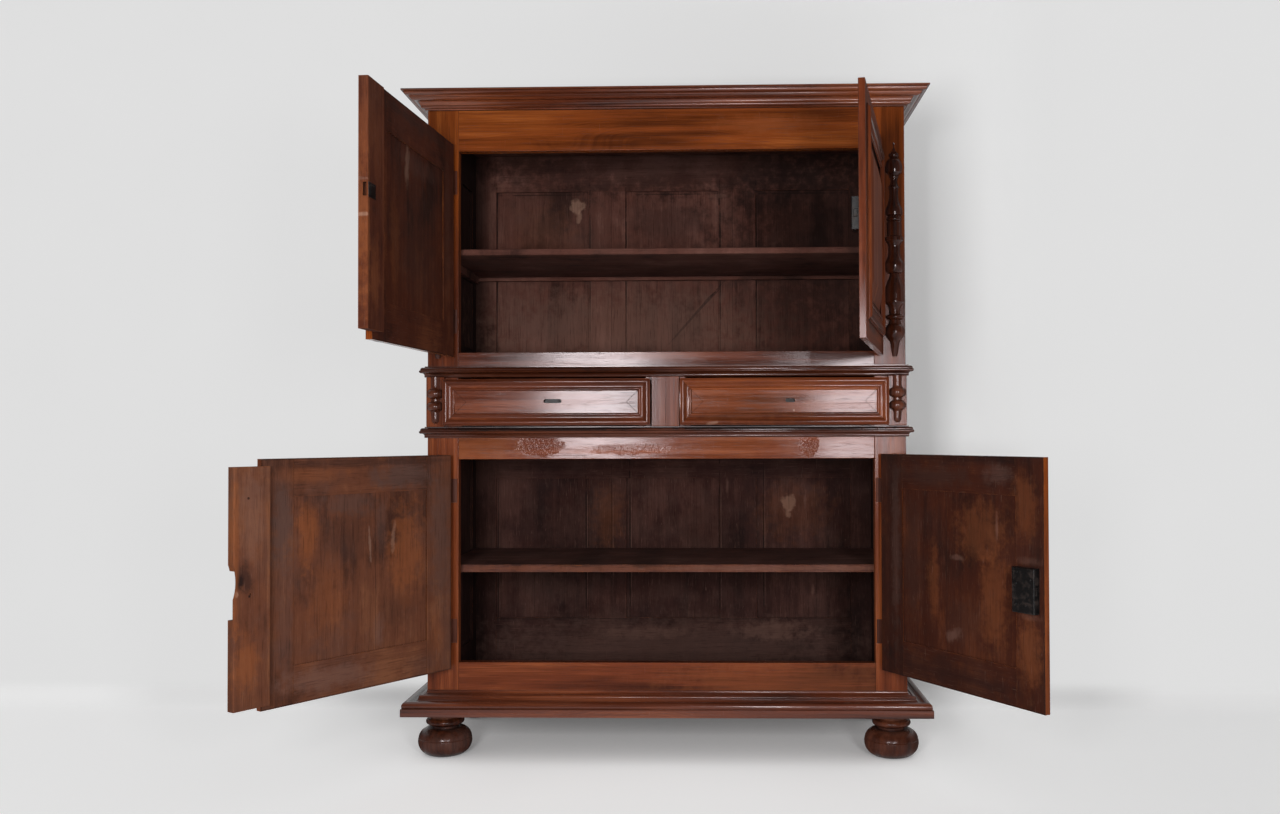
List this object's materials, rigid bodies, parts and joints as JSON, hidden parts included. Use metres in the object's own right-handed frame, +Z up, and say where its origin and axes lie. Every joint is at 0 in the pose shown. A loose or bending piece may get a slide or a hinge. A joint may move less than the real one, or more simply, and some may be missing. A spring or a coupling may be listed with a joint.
{
  "type": "court cupboard",
  "caption": "Two-stage oak cupboard with panelled doors over and under a waist of drawers, moulded cornice and base, split spindles and turned bun feet",
  "frame": {"origin": "on the floor, under the middle of the case's width and depth", "axes": "+Z up, the doors and drawers face -Y, +X to the viewer's right"},
  "size_m": [1.9046, 1.311, 1.883],
  "materials": {
    "oak_polished": "polished",
    "oak_inside": "worn matte",
    "iron": "blackened"
  },
  "bodies": {
    "carcass": {"base_moulding": "oak_polished", "bottom_board": "oak_inside", "bottom_rail": "oak_polished", "bun_feet": "oak_polished", "case_hinges": "iron", "cornice": "oak_polished", "drawer_muntin": "oak_polished", "drawer_runners": "oak_inside", "dust_board": "oak_inside", "frieze_rail": "oak_polished", "lower_back_frame": "oak_inside", "lower_case_panels": "oak_inside", "lower_front_stiles": "oak_polished", "lower_shelf": "oak_inside", "lower_side_frames": "oak_polished", "lower_top_rail": "oak_polished", "shelf_cleats": "oak_inside", "stile_spindles": "oak_polished", "top_board": "oak_inside", "upper_back_frame": "oak_inside", "upper_bottom_rail": "oak_polished", "upper_case_panels": "oak_inside", "upper_floor_board": "oak_inside", "upper_front_stiles": "oak_polished", "upper_shelf": "oak_inside", "upper_side_frames": "oak_polished", "waist_blocks": "oak_polished", "waist_mouldings": "oak_polished", "waist_spindles": "oak_polished"},
    "left_drawer_lock_bolt": {"left_drawer_bolt": "iron"},
    "left_drawer": {"left_drawer_box": "oak_inside", "left_drawer_front": "oak_polished", "left_drawer_lock": "iron"},
    "lower_left_door": {"lower_left_frame": "oak_polished", "lower_left_hinge_leaves": "iron", "lower_left_meeting_post": "oak_inside", "lower_left_mouldings": "oak_polished", "lower_left_panel": "oak_polished"},
    "lower_right_door_bolt": {"lower_right_bolt": "iron"},
    "lower_right_door": {"lower_right_frame": "oak_polished", "lower_right_hinge_leaves": "iron", "lower_right_lock": "iron", "lower_right_mouldings": "oak_polished", "lower_right_panel": "oak_polished"},
    "right_drawer_lock_bolt": {"right_drawer_bolt": "iron"},
    "right_drawer": {"right_drawer_box": "oak_inside", "right_drawer_front": "oak_polished", "right_drawer_lock": "iron"},
    "upper_left_door": {"upper_left_frame": "oak_polished", "upper_left_hinge_leaves": "iron", "upper_left_meeting_post": "oak_inside", "upper_left_mouldings": "oak_polished", "upper_left_panel": "oak_polished"},
    "upper_right_door_bolt": {"upper_right_bolt": "iron"},
    "upper_right_door": {"upper_right_frame": "oak_polished", "upper_right_hinge_leaves": "iron", "upper_right_lock": "iron", "upper_right_mouldings": "oak_polished", "upper_right_panel": "oak_polished"}
  },
  "joints": [
    {"name": "upper_left_door_hinge", "type": "hinge", "parent": "carcass", "child": "upper_left_door", "pos_m": [-0.611, -0.3045, 1.4325], "axis": [0, 0, -1], "range_deg": [-94.9, 40.1]},
    {"name": "upper_right_door_hinge", "type": "hinge", "parent": "carcass", "child": "upper_right_door", "pos_m": [0.611, -0.3045, 1.4325], "axis": [0, 0, 1], "range_deg": [-78, 57]},
    {"name": "upper_right_door_bolt_slide", "type": "slide", "parent": "upper_right_door", "child": "upper_right_door_bolt", "axis": [-0.2079, -0.9781, 0], "range_m": [0, 0.012]},
    {"name": "lower_left_door_hinge", "type": "hinge", "parent": "carcass", "child": "lower_left_door", "pos_m": [-0.611, -0.3045, 0.5575], "axis": [0, 0, -1], "range_deg": [-124, 11]},
    {"name": "lower_right_door_hinge", "type": "hinge", "parent": "carcass", "child": "lower_right_door", "pos_m": [0.611, -0.3045, 0.5575], "axis": [0, 0, 1], "range_deg": [-120.2, 14.8]},
    {"name": "lower_right_door_bolt_slide", "type": "slide", "parent": "lower_right_door", "child": "lower_right_door_bolt", "axis": [0.503, -0.8643, 0], "range_m": [0, 0.012]},
    {"name": "left_drawer_slide", "type": "slide", "parent": "carcass", "child": "left_drawer", "axis": [0, -1, 0], "range_m": [-0.03, 0.37]},
    {"name": "left_drawer_lock_bolt_rise", "type": "slide", "parent": "left_drawer", "child": "left_drawer_lock_bolt", "axis": [0, 0, 1], "range_m": [0, 0.013]},
    {"name": "right_drawer_slide", "type": "slide", "parent": "carcass", "child": "right_drawer", "axis": [0, -1, 0], "range_m": [-0.03, 0.37]},
    {"name": "right_drawer_lock_bolt_rise", "type": "slide", "parent": "right_drawer", "child": "right_drawer_lock_bolt", "axis": [0, 0, 1], "range_m": [0, 0.013]}
  ]
}
